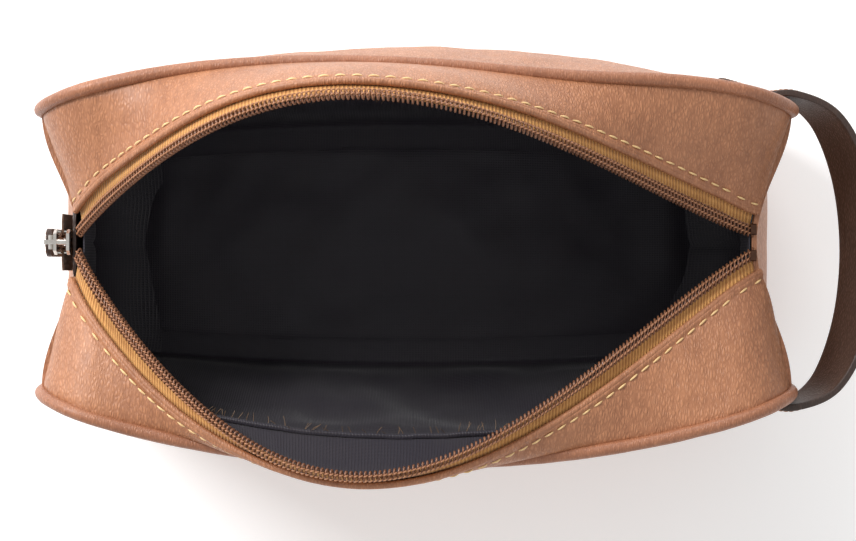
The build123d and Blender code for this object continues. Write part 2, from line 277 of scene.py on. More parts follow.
def split(finish, vector):
    return [finish.node("ShaderNodeSeparateXYZ", inputs=[vector], output=axis) for axis in ("X", "Y")]


LINING_GRID = 0.00095


def lining_cloth():
    finish = Finish("lining_cloth", Specular_IOR_Level=0.35, Sheen_Weight=0.1, Sheen_Roughness=0.4)
    across, along = split(finish, finish.place("UV"))
    warp = threads(finish, across, LINING_GRID)
    weft = threads(finish, along, LINING_GRID)
    grid = finish.node("ShaderNodeMath", {"operation": "MAXIMUM"}, [warp ** 3.0, weft ** 3.0])
    dust = finish.cloud(finish.place(), 60.0, 4.0)
    worn = (grid * 0.55 + dust * 0.5 - 0.1).clamped()
    finish.feed(
        Base_Color=finish.mix(worn, colour(44, 42, 52), colour(60, 54, 57)),
        Roughness=(0.5 - 0.16 * grid + 0.2 * (dust - 0.5)).clamped(),
        Normal=finish.bump(grid, 0.00016, 0.6),
    )
    return finish.material


RIB_PITCH = 0.0014
RIB_ROW = 0.0024


def tape_cloth(name, light, dark):
    """Zip tape: plump ribs across the zip, in rows bound by finer lines along it."""
    finish = Finish(name, Specular_IOR_Level=0.3, Sheen_Weight=0.25, Sheen_Roughness=0.4)
    along, across = split(finish, finish.place("UV"))
    rib = threads(finish, along, RIB_PITCH)
    weft = threads(finish, across, RIB_ROW)
    weave = (rib * 0.72 + weft * 0.28).clamped()
    wear = finish.cloud(finish.place(), 240.0, 3.0)
    finish.feed(
        Base_Color=finish.mix((weave * 0.75 + wear * 0.5 - 0.18).clamped(), dark, light),
        Roughness=0.62 + 0.2 * (1.0 - rib),
        Normal=finish.bump(weave, 0.0005, 0.9),
    )
    return finish.material


lining_finish = lining_cloth()
tape_finish = tape_cloth("zip_tape_cloth", colour(240, 182, 110), colour(168, 110, 62))
tail_finish = tape_cloth("tail_tape_cloth", colour(104, 72, 50), colour(54, 36, 26))
print("cloths", lining_finish.name, tape_finish.name)


# %% [markdown]
# Thread, the nylon coil and the nickel slider are small, so their shape does most of the work and the
# finish only needs a little wear and a few fibres.


# %% Thread, coil, metal and floor
def fibrous(name, light, dark, roughness, scale, specular=0.4, metal=0.0, **constants):
    finish = Finish(name, Specular_IOR_Level=specular, Metallic=metal, **constants)
    speck = finish.cloud(finish.place(), scale, 4.0, 0.65)
    finish.feed(
        Base_Color=finish.mix((speck * 1.6 - 0.3).clamped(), dark, light),
        Roughness=(roughness + 0.2 * (speck - 0.5)).clamped(),
        Normal=finish.bump(speck, 0.00006, 0.5),
    )
    return finish.material


thread_finish = fibrous("gold_thread", colour(244, 214, 160), colour(212, 168, 112), 0.45, 1900.0)
coil_finish = fibrous("zip_coil_nylon", colour(158, 106, 74), colour(86, 54, 40), 0.28, 900.0, 0.5)
coil_thread_finish = fibrous("coil_thread", colour(196, 140, 102), colour(128, 82, 56), 0.5, 1500.0)
nickel = fibrous("nickel", colour(232, 228, 222), colour(196, 190, 182), 0.2, 420.0, 0.5, 1.0)
dark_metal = fibrous("dark_metal", colour(96, 66, 50), colour(64, 42, 32), 0.35, 700.0, 0.5, 0.8)
fray_finish = fibrous("frayed_thread", colour(150, 118, 84), colour(70, 56, 48), 0.6, 1200.0)
board_finish = fibrous("stiff_board", colour(70, 66, 62), colour(50, 47, 44), 0.6, 300.0)
glow = {"Emission_Color": (1.0, 1.0, 1.0, 1.0), "Emission_Strength": 0.22}
floor_finish = fibrous("pale_floor", colour(250, 250, 250), colour(246, 246, 246), 0.7, 5.0, 0.2, **glow)
floor.data.materials.append(floor_finish)
print("small finishes ready")

# %% [markdown]
# The shape of the bag comes from a few curves. Each padded panel is a rounded rectangle seen from the
# front, and its piping runs round that outline. Seen from above, the panels bow outwards. The two halves of
# the zip are arcs that lean apart about the line through the corners of the mouth.

# %% The bag's driving sizes, taken from the frame where a node holds them
PIPE = 0.00225
PIPE_LIFT = 0.00015
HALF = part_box("piping_cover_back")[1].x - PIPE
CORNER_LOW = 0.028
CORNER_HIGH = 0.024
BASE_HALF = 0.046
BASE_BOW = 0.004
BACK = {"side": 1, "top_end": 0.046, "top_bow": 0.015, "power": 3.0, "bulge": 0.014}
BACK.update(lean=60.0, slump=0.0025)
BACK.update(zip_body="mouth_back", bend=(0.0173, 0.0355), row_bend=0.0350)
BACK.update(high_end=0.121, high_mid=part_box("piping_cover_back")[1].z - PIPE, draw_in=0.0045)
FRONT = {"side": -1, "top_end": 0.054, "top_bow": 0.022, "power": 2.2, "bulge": 0.005}
FRONT.update(lean=30.5, slump=0.001)
FRONT.update(zip_body="mouth_front", bend=(0.0706, 0.0724), row_bend=0.0716)
FRONT.update(high_end=0.119, high_mid=0.118, draw_in=0.0)
SAG_X = 0.055
SAG_WIDTH = 0.045
MOUTH_HALF = 0.119
MOUTH_HEIGHT = 0.097
ARC_RISE = 0.088
ARC_SKEW = 0.8
ARC_POWER = 1.15
HALF_GAP = 0.0016


def corner_drop(x, radius, inset):
    past = abs(x) - (HALF - radius)
    inner = radius - inset
    return inner - sqrt(max(0.0, inner**2 - past**2)) if past > 0 else 0.0


def edge_low(x, inset=0.0):
    return PIPE + PIPE_LIFT + inset + corner_drop(x, CORNER_LOW, inset)


def edge_high(panel, x, inset=0.0):
    u = x / HALF
    straight = panel["high_end"] + (panel["high_mid"] - panel["high_end"]) * (1 - u * u)
    return straight - inset - corner_drop(x, CORNER_HIGH, inset)


def wall_y(panel, x, z):
    """Distance of a panel's outer face from the middle plane."""
    u = min(1.0, abs(x) / HALF)
    s = min(1.0, max(0.0, z / max(panel["high_mid"], panel["high_end"])))
    low = BASE_HALF + BASE_BOW * (1 - u * u)
    high = panel["top_end"] + panel["top_bow"] * (1 - u ** panel["power"])
    high -= panel["draw_in"] * exp(-(((x - SAG_X) / SAG_WIDTH) ** 2))
    return (1 - s) * low + s * high + panel["bulge"] * (1 - u * u) * sin(pi * s)


def wall_point(panel, x, z, depth=0.0):
    return Vector((x, panel["side"] * (wall_y(panel, x, z) - depth), z))


def zip_edge(panel, x):
    """Where the teeth of one zip half stand at x."""
    t = min(1.0, max(0.0, (x + MOUTH_HALF) / (2 * MOUTH_HALF)))
    rise = ARC_RISE * max(0.0, sin(pi * t**ARC_SKEW)) ** ARC_POWER
    angle = radians(panel["lean"])
    return Vector((x, panel["side"] * (HALF_GAP + rise * cos(angle)), MOUTH_HEIGHT + rise * sin(angle)))


print("bag half length", round(HALF, 4), "back seam height", round(BACK["high_mid"], 4))


# %% [markdown]
# Modifiers and grids are used over and over. A grid primitive is a flat, evenly divided sheet with a UV
# map: put each of its points where a formula says and it becomes any curved panel. The UV map is then
# stretched to metres, so that weaves keep their true size.


# %% Helpers that make and finish sheets
def alone(obj):
    """Makes obj the only thing selected."""
    for other in list(bpy.context.selected_objects):
        other.select_set(False)
    obj.select_set(True)
    bpy.context.view_layer.objects.active = obj


def apply_modifier(obj, kind, **settings):
    modifier = obj.modifiers.new(kind.title(), kind)
    for key, value in settings.items():
        setattr(modifier, key, value)
    alone(obj)
    bpy.ops.object.modifier_apply(modifier=modifier.name)


def formed(name, columns, rows, place):
    """A grid whose points stand where place(u, v) says, u and v from 0 to 1, with UVs in metres."""
    bpy.ops.mesh.primitive_grid_add(x_subdivisions=columns, y_subdivisions=rows, size=2)
    obj = bpy.context.object
    obj.name = obj.data.name = name
    middle_u = [place(i / columns, 0.5) for i in range(columns + 1)]
    middle_v = [place(0.5, j / rows) for j in range(rows + 1)]
    long_u = sum((b - a).length for a, b in zip(middle_u, middle_u[1:]))
    long_v = sum((b - a).length for a, b in zip(middle_v, middle_v[1:]))
    for loop in obj.data.uv_layers.active.data:
        loop.uv = (loop.uv[0] * long_u, loop.uv[1] * long_v)
    for vertex in obj.data.vertices:
        vertex.co = place((vertex.co.x + 1) / 2, (vertex.co.y + 1) / 2)
    return obj


def face_from(obj, middle=(0.0, 0.0, 0.07)):
    """Turns an open sheet so that its faces look away from a point inside the bag."""
    away = sum((p.center - Vector(middle)).dot(p.normal) * p.area for p in obj.data.polygons)
    if away < 0:
        obj.data.flip_normals()


def joined_ends(obj, distance=0.00002):
    """Merges the meeting edges of a sheet that was rolled into a tube, and faces it outwards."""
    alone(obj)
    bpy.ops.object.mode_set(mode="EDIT")
    bpy.ops.mesh.select_all(action="SELECT")
    bpy.ops.mesh.remove_doubles(threshold=distance)
    bpy.ops.mesh.select_all(action="SELECT")
    bpy.ops.mesh.normals_make_consistent(inside=False)
    bpy.ops.object.mode_set(mode="OBJECT")


def dressed(obj, material, body, smooth=60.0):
    """Gives a finished piece its material, smooth shading and, when one is named, its body."""
    obj.data.materials.clear()
    obj.data.materials.append(material)
    alone(obj)
    bpy.ops.object.shade_smooth_by_angle(angle=radians(smooth))
    if body:
        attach(obj, body)
    return obj


def swell(point, scale, seed):
    """Smooth noise from about -1 to 1, for folds and for the unevenness of hand work."""
    return noise.noise(Vector(point) * scale + Vector((seed, seed * 1.7, seed * 0.3)))


# %% [markdown]
# A padded panel is leather over foam. It stands proud between its seams and dips where the piping is sewn
# in, so its edge is drawn in over the last centimetre. The hide isn't flat either: slow, shallow waves
# catch the light.

# %% Panels
LEATHER = 0.0016
PANEL_TUCK = 0.0012
DIP_WIDTH = 0.010
DIP_DEPTH = 0.0032


def outline_distance(panel, x, z):
    """How far a point of the panel is inside its outline."""
    sides = HALF - abs(x)
    low = z - edge_low(0)
    high = edge_high(panel, x) + corner_drop(x, CORNER_HIGH, 0) - z
    nearest = min(sides, low, high)
    for radius, height in ((CORNER_LOW, low), (CORNER_HIGH, high)):
        if sides < radius and height < radius:
            nearest = min(nearest, radius - hypot(radius - sides, radius - height))
    return nearest


def panel_surface(panel, seed):
    side = panel["side"]

    def place(u, v):
        x = -side * (HALF - PANEL_TUCK) * sin((u - 0.5) * pi)
        low = edge_low(x, PANEL_TUCK)
        z = low + (edge_high(panel, x, PANEL_TUCK) - low) * v
        inside = min(1.0, max(0.0, outline_distance(panel, x, z)) / DIP_WIDTH)
        dip = DIP_DEPTH * (1 - inside) ** 2
        wave = 0.0011 * swell((x, 0, z), 22, seed) + 0.0004 * swell((x, 0, z), 75, seed)
        up_wall = sin(pi * min(1.0, z / panel["high_mid"]))
        slump = panel["slump"] * exp(-(((x - SAG_X) / SAG_WIDTH) ** 2)) * up_wall
        off_seam = outline_distance(panel, x, z) - 0.007
        pucker = 0.0007 * swell((x, 0, z), 85, seed + 1) * exp(-((off_seam / 0.006) ** 2))
        return wall_point(panel, x, z, dip - (wave + slump + pucker) * inside)

    return place


for panel, name, seed in ((BACK, "back", 3.0), (FRONT, "front", 8.0)):
    piece = formed(f"padded_panel_{name}", 150, 70, panel_surface(panel, seed))
    face_from(piece)
    apply_modifier(piece, "SOLIDIFY", thickness=LEATHER, offset=-1.0)
    dressed(piece, tan_leather, "bag")
    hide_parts(f"{name}_panel", f"panel_padding_{name}")
    print(piece.name, len(piece.data.polygons))

# %% [markdown]
# Piping is a strip of leather wrapped round a cord and caught in the seam. A grid rolled round the seam's
# path makes the tube; its radius wanders a little, as hand-fed piping does.

# %% Piping
SEAM_SAMPLES = 480


def seam_outline(panel):
    """Evenly spaced points round a panel's outline, from under the base round the right end and back."""
    flat_low = HALF - CORNER_LOW
    flat_high = HALF - CORNER_HIGH
    steps = 24
    points = [(flat_low * i / steps, edge_low(0)) for i in range(steps)]
    for i in range(steps):
        turn = pi / 2 * i / steps
        points.append((flat_low + CORNER_LOW * sin(turn), edge_low(0) + CORNER_LOW * (1 - cos(turn))))
    for i in range(steps + 1):
        turn = pi / 2 * i / steps
        x = flat_high + CORNER_HIGH * cos(turn)
        top = edge_high(panel, x) + corner_drop(x, CORNER_HIGH, 0)
        points.append((x, top - CORNER_HIGH * (1 - sin(turn))))
    top = [flat_high * (1 - i / steps) for i in range(1, steps)]
    points += [(x, edge_high(panel, x)) for x in top]
    whole = [*points, (0.0, edge_high(panel, 0)), *((-x, z) for x, z in reversed(points))]
    places = [wall_point(panel, x, z) for x, z in whole]
    lengths = [0.0]
    for a, b in zip(places, places[1:]):
        lengths.append(lengths[-1] + (b - a).length)
    even = []
    at = 0
    for i in range(SEAM_SAMPLES):
        want = lengths[-1] * i / SEAM_SAMPLES
        while lengths[at + 1] < want:
            at += 1
        share = (want - lengths[at]) / (lengths[at + 1] - lengths[at])
        even.append(places[at].lerp(places[at + 1], share))
    return even


def tube_round(points, radius, closed):
    """place(u, v) for a grid rolled into a tube along points; v goes round it."""
    count = len(points)

    def place(u, v):
        i = round(u * (count if closed else count - 1))
        here = points[i % count]
        before = points[(i - 1) % count] if closed else points[max(0, i - 1)]
        after = points[(i + 1) % count] if closed else points[min(count - 1, i + 1)]
        forward = (after - before).normalized()
        sideways = forward.cross(Vector((0, 1, 0) if abs(forward.y) < 0.9 else (1, 0, 0))).normalized()
        up = sideways.cross(forward)
        size = radius * (1 + 0.05 * swell(here, 130, 5.0))
        turn = 2 * pi * v
        return here + sideways * (size * cos(turn)) + up * (size * sin(turn))

    return place


for panel, name in ((BACK, "back"), (FRONT, "front")):
    piece = formed(f"piping_{name}", SEAM_SAMPLES, 14, tube_round(seam_outline(panel), PIPE, True))
    joined_ends(piece)
    dressed(piece, piping_leather, "bag")
    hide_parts(f"piping_cover_{name}", f"piping_cord_{name}")
    print(piece.name, len(piece.data.polygons))

# %% [markdown]
# Each lip of the mouth runs from the piping up to the teeth of the zip. At its ends it lies almost flat, in
# the middle it stands up, and the front lip even rolls outwards over its own piping. A cubic curve from
# seam to teeth holds each cross-section: its two handles decide how much it rolls. Leather, tape, coil,
# thread and lining all ride on this one surface, each at its own distance from the teeth and its own height
# above the leather.

# %% The lips' common surface
LIP_SAMPLES = 320
CURVE_STEPS = 28


def lip_seam(panel, x):
    """The point of the piping that faces the zip at x; past the top corner it comes down the round."""
    flat = HALF - CORNER_HIGH
    if abs(x) <= flat:
        return wall_point(panel, x, edge_high(panel, x))
    turn = pi / 2 * (1 - (abs(x) - flat) / (MOUTH_HALF - flat))
    seam_x = flat + CORNER_HIGH * cos(turn)
    top = edge_high(panel, seam_x) + corner_drop(seam_x, CORNER_HIGH, 0)
    return wall_point(panel, seam_x * (1 if x > 0 else -1), top - CORNER_HIGH * (1 - sin(turn)))


def lip_curve(panel, x):
    """Points from the teeth to the piping along one cross-section of a lip."""
    teeth = zip_edge(panel, x)
    seam = lip_seam(panel, x)
    reach = seam - teeth
    out = Vector((0, panel["side"], 0))
    middle = max(0.0, 1 - ((x + 0.012) / 0.085) ** 2) ** 1.5
    if panel is FRONT:
        first = teeth + reach / 3 * (1 - middle) + (out * 0.0085 - Vector((0, 0, 0.001))) * middle
        second = seam - reach / 3 * (1 - middle) + (out * 0.0085 + Vector((0, 0, 0.010))) * middle
    else:
        steep = exp(-(((x + 0.005) / 0.042) ** 2))
        first = teeth + out * 0.012 - Vector((0, 0, 0.001 + 0.008 * steep))
        second = seam - reach / 3 + out * 0.003 * middle
        second.z += 0.003 * middle
    points = []
    for j in range(CURVE_STEPS + 1):
        t = j / CURVE_STEPS
        k = 1 - t
        bow = 0.0016 * sin(pi * t) * (1 - middle)
        point = teeth * k**3 + first * (3 * k * k * t) + second * (3 * k * t * t) + seam * t**3
        points.append(point + Vector((0, 0, bow)))
    return points


class Lip:
    """One lip of the mouth. at(s, a, c): s along the zip, a from the teeth, c above the leather's middle."""

    def __init__(self, panel, seed):
        self.panel = panel
        self.seed = seed
        fine = [-MOUTH_HALF + 2 * MOUTH_HALF * i / 2000 for i in range(2001)]
        edge = [zip_edge(panel, x) for x in fine]
        lengths = [0.0]
        for a, b in zip(edge, edge[1:]):
            lengths.append(lengths[-1] + (b - a).length)
        self.length = lengths[-1]
        self.rows = []
        at = 0
        for i in range(LIP_SAMPLES + 1):
            want = self.length * i / LIP_SAMPLES
            while at < 1999 and lengths[at + 1] < want:
                at += 1
            share = min(1.0, (want - lengths[at]) / (lengths[at + 1] - lengths[at]))
            points = lip_curve(panel, fine[at] + (fine[at + 1] - fine[at]) * share)
            tangent = (edge[at + 1] - edge[at]).normalized()
            across = points[-1] - points[0]
            square = (across - tangent * across.dot(tangent)).length / across.length
            along = [0.0]
            for a, b in zip(points, points[1:]):
                along.append(along[-1] + (b - a).length * square)
            self.rows.append((points, along))

    def width(self, s):
        return self.rows[round(min(1.0, max(0.0, s)) * LIP_SAMPLES)][1][-1]

    def on_row(self, row, a):
        points, along = self.rows[row]
        a = min(along[-1], max(0.0, a))
        j = 0
        while j < CURVE_STEPS - 1 and along[j + 1] < a:
            j += 1
        share = (a - along[j]) / (along[j + 1] - along[j])
        return points[j].lerp(points[j + 1], share)

    def flat(self, s, a):
        spot = min(1.0, max(0.0, s)) * LIP_SAMPLES
        row = min(LIP_SAMPLES - 1, int(spot))
        return self.on_row(row, a).lerp(self.on_row(row + 1, a), spot - row)

    def normal(self, s, a):
        step_s, step_a = 0.004, 0.0012
        ahead = self.flat(min(1.0, s + step_s), a) - self.flat(max(0.0, s - step_s), a)
        outward = self.flat(s, a + step_a) - self.flat(s, max(0.0, a - step_a))
        found = ahead.cross(outward).normalized()
        return found if self.panel["side"] > 0 else -found

    def at(self, s, a, c=0.0):
        return self.flat(s, a) + self.normal(s, a) * c


BACK_LIP = Lip(BACK, 2.0)
FRONT_LIP = Lip(FRONT, 6.0)
print("zip half lengths", round(BACK_LIP.length, 4), round(FRONT_LIP.length, 4))

# %% [markdown]
# The leather of a lip stops short of the teeth, where it is folded under, so its edge is twice as thick and
# round. The fold is a thin roll along the sheet's edge. Far from the stitching the hide keeps a few soft
# waves.

# %% Leather lips
FOLD_FROM_TEETH = 0.0085
FOLD_ROLL = 0.00125
STITCH_FROM_FOLD = 0.0030
LIPS = ((BACK_LIP, "back"), (FRONT_LIP, "front"))


def bend_with_lip(obj, panel, high=None):
    """Bakes the piece's placement into its points."""
    lean = radians(panel["lean"])
    low, edge = panel["bend"]
    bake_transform(obj)


def lip_leather(lip):
    def place(u, v):
        full = lip.width(u)
        a = FOLD_FROM_TEETH + (full - FOLD_FROM_TEETH) * v**1.5
        here = lip.flat(u, a)
        calm = sin(pi * min(1.0, v * 1.15)) ** 2
        from_stitch = a - FOLD_FROM_TEETH - STITCH_FROM_FOLD
        puff = 0.0005 * exp(-((from_stitch + 0.0015) ** 2) / 0.000001)
        puff -= 0.0003 * exp(-(from_stitch**2) / 0.0000006)
        wave = 0.0010 * swell(here, 30, lip.seed) + 0.00035 * swell(here, 95, lip.seed)
        sink = 0.0012 * (1 - min(1.0, (full - a) / 0.004)) ** 2
        return lip.at(u, a, wave * calm - sink + puff)

    return place


def along_lip(lip, a, c, steps, start=0.0, stop=1.0):
    return [lip.at(start + (stop - start) * i / steps, a, c) for i in range(steps + 1)]


for lip, name in LIPS:
    piece = formed(f"lip_{name}", 280, 44, lip_leather(lip))
    face_from(piece, (0, 0, 0.02))
    apply_modifier(piece, "SOLIDIFY", thickness=LEATHER, offset=-1.0)
    roll = along_lip(lip, FOLD_FROM_TEETH + 0.0004, -0.0006, 260)
    edge = formed(f"fold_{name}", 260, 10, tube_round(roll, FOLD_ROLL, False))
    joined_ends(edge)
    alone(piece)
    edge.select_set(True)
    bpy.ops.object.join()
    dressed(piece, tan_leather, None)
    bend_with_lip(piece, lip.panel)
    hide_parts(f"top_strip_{name}")
    print(piece.name, len(piece.data.polygons))

# %% [markdown]
# Top stitching is real thread: each stitch is a short rounded bar that lies on the leather and dives into
# it at both ends. One stitch is a small cylinder whose ends are drawn down, and the row is copies of it set
# along the seam. Each is turned a little at random, from a fixed formula, so the row looks sewn and not
# printed.

# %% Stitches
STITCH_PITCH = 0.0054
STITCH_LENGTH = 0.0034
THREAD = 0.00037


def stitch_mesh(length, radius):
    """The points and faces of one stitch along +X, lying on the plane z = 0."""
    rings, sides = 6, 6
    points, faces = [], []
    for i in range(rings + 1):
        t = i / rings
        thick = radius * (0.55 + 0.45 * sin(pi * t))
        for j in range(sides):
            turn = 2 * pi * j / sides
            lift = radius * (0.9 * sin(pi * t) - 0.35)
            points.append(Vector((length * (t - 0.5), thick * cos(turn), lift + thick * sin(turn))))
    for i in range(rings):
        for j in range(sides):
            k = (j + 1) % sides
            faces.append((i * sides + j, i * sides + k, (i + 1) * sides + k, (i + 1) * sides + j))
    faces.append(tuple(reversed(range(sides))))
    faces.append(tuple(rings * sides + j for j in range(sides)))
    return points, faces


def sewn(name, places, length=STITCH_LENGTH, radius=THREAD):
    """A row of stitches, one for each (point, forward, up)."""
    pattern, pattern_faces = stitch_mesh(length, radius)
    points, faces = [], []
    for n, (spot, forward, up) in enumerate(places):
        side = up.cross(forward).normalized()
        lean = 0.09 * swell((n * 0.7, 0, 0), 1.0, 4.0) + 0.05
        ahead = (forward * cos(lean) + side * sin(lean)).normalized()
        beside = up.cross(ahead)
        start = len(points)
        points += [spot + ahead * p.x + beside * p.y + up * p.z for p in pattern]
        faces += [tuple(start + i for i in face) for face in pattern_faces]
    mesh = bpy.data.meshes.new(name)
    mesh.from_pydata(points, [], faces)
    mesh.validate()
    obj = bpy.data.objects.new(name, mesh)
    scene.collection.objects.link(obj)
    alone(obj)
    bpy.ops.object.mode_set(mode="EDIT")
    bpy.ops.mesh.select_all(action="SELECT")
    bpy.ops.mesh.normals_make_consistent(inside=False)
    bpy.ops.object.mode_set(mode="OBJECT")
    return obj


def stitch_row(lip, a, c):
    count = int(lip.length / STITCH_PITCH)
    places = []
    for n in range(count):
        s = (n + 0.5) / count
        wander = a + 0.00015 * swell((n * 0.45, 0, 0), 1.0, lip.seed)
        ahead = (lip.flat(min(1, s + 0.003), wander) - lip.flat(max(0, s - 0.003), wander)).normalized()
        places.append((lip.at(s, wander, c), ahead, lip.normal(s, wander)))
    return places


for lip, name in LIPS:
    row = sewn(f"top_stitching_{name}", stitch_row(lip, FOLD_FROM_TEETH + STITCH_FROM_FOLD, 0.0001))
    dressed(row, thread_finish, None)
    bend_with_lip(row, lip.panel, lip.panel["row_bend"])
    print(row.name, len(row.data.polygons))

# %% [markdown]
# The zip. Each half is a woven tape with a nylon coil sewn along its edge. The coil is one thread of nylon
# wound into flat loops, about 1.6 mm apart, so it is made as that: a thin tube that runs round and round a
# flattened circle while it moves along the tape. Two rows of stitches hold it down.

# %% Tapes and coils
TAPE_IN = 0.0030
TAPE_OUT = 0.0125
TAPE_DROP = -0.0024
TOOTH_PITCH = 0.00163
COIL_CENTRE = 0.0019
COIL_REACH = 0.0020
COIL_RISE = 0.0009
COIL_DROP = -0.0008
NYLON = 0.0004
COIL_STITCH_ROWS = (0.0011, 0.0029)
COIL_STITCH_LENGTH = 0.0016
COIL_STITCH_THREAD = 0.0003
TURN_STEPS = 10


def tape_sheet(lip):
    def place(u, v):
        a = TAPE_IN + (TAPE_OUT - TAPE_IN) * v
        return lip.at(u, a, TAPE_DROP + 0.0006 * (1 - v))

    return place


def coil_line(lip):
    turns = int(lip.length / TOOTH_PITCH)
    points = []
    for i in range(turns * TURN_STEPS + 1):
        turn = 2 * pi * i / TURN_STEPS
        s = i / (turns * TURN_STEPS)
        a = COIL_CENTRE + COIL_REACH * cos(turn)
        points.append(lip.at(s, a, COIL_DROP + COIL_RISE * sin(turn)))
    return points


def thin_tube(name, points, radius, sides=6):
    """A tube of few sides along many points, for wound and twisted threads."""
    verts, faces = [], []
    for i, here in enumerate(points):
        forward = (points[min(len(points) - 1, i + 1)] - points[max(0, i - 1)]).normalized()
        sideways = forward.cross(Vector((0.31, 0.2, 0.93))).normalized()
        up = sideways.cross(forward)
        for j in range(sides):
            turn = 2 * pi * j / sides
            verts.append(here + sideways * (radius * cos(turn)) + up * (radius * sin(turn)))
    for i in range(len(points) - 1):
        for j in range(sides):
            k = (j + 1) % sides
            faces.append((i * sides + j, i * sides + k, (i + 1) * sides + k, (i + 1) * sides + j))
    last = (len(points) - 1) * sides
    faces.append(tuple(reversed(range(sides))))
    faces.append(tuple(last + j for j in range(sides)))
    mesh = bpy.data.meshes.new(name)
    mesh.from_pydata(verts, [], faces)
    obj = bpy.data.objects.new(name, mesh)
    scene.collection.objects.link(obj)
    alone(obj)
    bpy.ops.object.mode_set(mode="EDIT")
    bpy.ops.mesh.select_all(action="SELECT")
    bpy.ops.mesh.normals_make_consistent(inside=False)
    bpy.ops.object.mode_set(mode="OBJECT")
    return obj


def coil_stitches(lip):
    turns = int(lip.length / TOOTH_PITCH)
    places = []
    for n in range(turns):
        s = (n + 0.5) / turns
        for a in COIL_STITCH_ROWS:
            ahead = lip.flat(min(1, s + 0.003), a) - lip.flat(max(0, s - 0.003), a)
            out = lip.normal(s, a)
            slant = (ahead.normalized() + out.cross(ahead).normalized() * 0.35).normalized()
            places.append((lip.at(s, a, COIL_DROP + COIL_RISE + NYLON), slant, out))
    return places


for lip, name in LIPS:
    body = f"mouth_{name}"
    tape = formed(f"zip_tape_cloth_{name}", 300, 24, tape_sheet(lip))
    face_from(tape, (0, 0, 0.02))
    apply_modifier(tape, "SOLIDIFY", thickness=0.0006, offset=-1.0)
    dressed(tape, tape_finish, body)
    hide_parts(f"zip_tape_{name}")
    coil = thin_tube(f"zip_teeth_{name}", coil_line(lip), NYLON)
    dressed(coil, coil_finish, body, 80.0)
    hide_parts(f"zip_coil_{name}")
    held = sewn(f"coil_stitching_{name}", coil_stitches(lip), COIL_STITCH_LENGTH, COIL_STITCH_THREAD)
    dressed(held, coil_thread_finish, body)
    print(coil.name, len(coil.data.polygons), held.name, len(held.data.polygons))

# %% [markdown]
# The gusset is the band of leather between the two piped seams: along the base, round each lower corner and
# up the ends. Where the mouth is pulled open the ends fold inwards, so the band's middle line comes in as
# it rises. At the left end it is cut open round the tail of the zip, over a patch of dark leather.

# %% Gusset
BAND = 0.0018
FOLD_X = MOUTH_HALF + 0.0007
FOLD_LOW = 0.036
FOLD_HIGH = 0.074
GUSSET_TOP = 0.0965
SLOT_HALF = 0.0115
SLOT_END = 0.070


def smooth(t):
    t = min(1.0, max(0.0, t))
    return t * t * (3 - 2 * t)


def end_middle_x(z):
    """The band's middle line at an end, at a height above the corner."""
    flat = HALF + 0.001
    low = FOLD_LOW * 0.6
    return flat - (flat - FOLD_X) * smooth((z - low) / (FOLD_HIGH * 1.08 - low))


def end_outline(t):
    """The seam's x and z, and the middle line's, from the base (t = 0) up an end (t = 1)."""
    bend = 0.30
    if t < bend:
        turn = pi / 2 * t / bend
        seam = (HALF - CORNER_LOW + CORNER_LOW * sin(turn), edge_low(0) + CORNER_LOW * (1 - cos(turn)))
        radius = CORNER_LOW + 0.002
        return seam, (HALF - CORNER_LOW - 0.001 + radius * sin(turn), radius * (1 - cos(turn)))
    rise = (t - bend) / (1 - bend)
    low = edge_low(0) + CORNER_LOW
    z = low + (GUSSET_TOP - low) * rise
    return (HALF, z), (end_middle_x(z), z)


def end_band(direction, slot, seed):
    """place(u, v): u from the front seam to the back seam, v up the end."""

    def place(u, v):
        (seam_x, seam_z), (middle_x, middle_z) = end_outline(v)
        side = 1 if u >= 0.5 else -1
        panel = BACK if side > 0 else FRONT
        share = abs(u - 0.5) * 2
        if slot:
            opening = smooth((middle_z - SLOT_END) / 0.006) * SLOT_HALF / wall_y(panel, seam_x, seam_z)
            share = opening + (1 - opening) * share
        rounded = (1 - cos(pi * share)) / 2
        x = middle_x + (seam_x - middle_x) * rounded
        z = middle_z + (seam_z - middle_z) * share
        y = side * wall_y(panel, seam_x, seam_z) * share
        wave = 0.0014 * swell((x, y, z), 28, seed) * sin(pi * share) * smooth(v * 4)
        return Vector((direction * (x + wave), y, z))

    return place


def cut_halves(obj):
    """Takes out the stretched faces that would bridge the slot."""
    alone(obj)
    bpy.ops.object.mode_set(mode="EDIT")
    bpy.ops.mesh.select_all(action="DESELECT")
    bpy.ops.object.mode_set(mode="OBJECT")
    for face in obj.data.polygons:
        ys = [obj.data.vertices[i].co.y for i in face.vertices]
        face.select = min(ys) < -0.002 and max(ys) > 0.002
    bpy.ops.object.mode_set(mode="EDIT")
    bpy.ops.mesh.select_mode(type="FACE")
    bpy.ops.mesh.delete(type="FACE")
    bpy.ops.object.mode_set(mode="OBJECT")


for direction, name, seed in ((1, "right", 12.0), (-1, "left", 15.0)):
    piece = formed(f"end_band_{name}", 65, 60, end_band(direction, name == "left", seed))
    if name == "left":
        cut_halves(piece)
    face_from(piece)
    apply_modifier(piece, "SOLIDIFY", thickness=BAND, offset=-1.0)
    dressed(piece, tan_leather, "bag")
    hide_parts(f"end_gusset_{name}")
    print(piece.name, len(piece.data.polygons))

BASE_X = HALF - CORNER_LOW - 0.001


def base_sheet(u, v):
    x = BASE_X * (2 * u - 1)
    y = (2 * v - 1) * (wall_y(BACK, x, 0) - 0.0005)
    edge = min(1.0, (1 - abs(2 * v - 1)) / 0.06)
    return Vector((x, y, 0.0006 * (1 - edge) ** 2))


base = formed("base_leather", 90, 44, base_sheet)
face_from(base)
apply_modifier(base, "SOLIDIFY", thickness=BAND, offset=-1.0)
dressed(base, tan_leather, "bag")
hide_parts("base_gusset")
print(base.name, len(base.data.polygons))

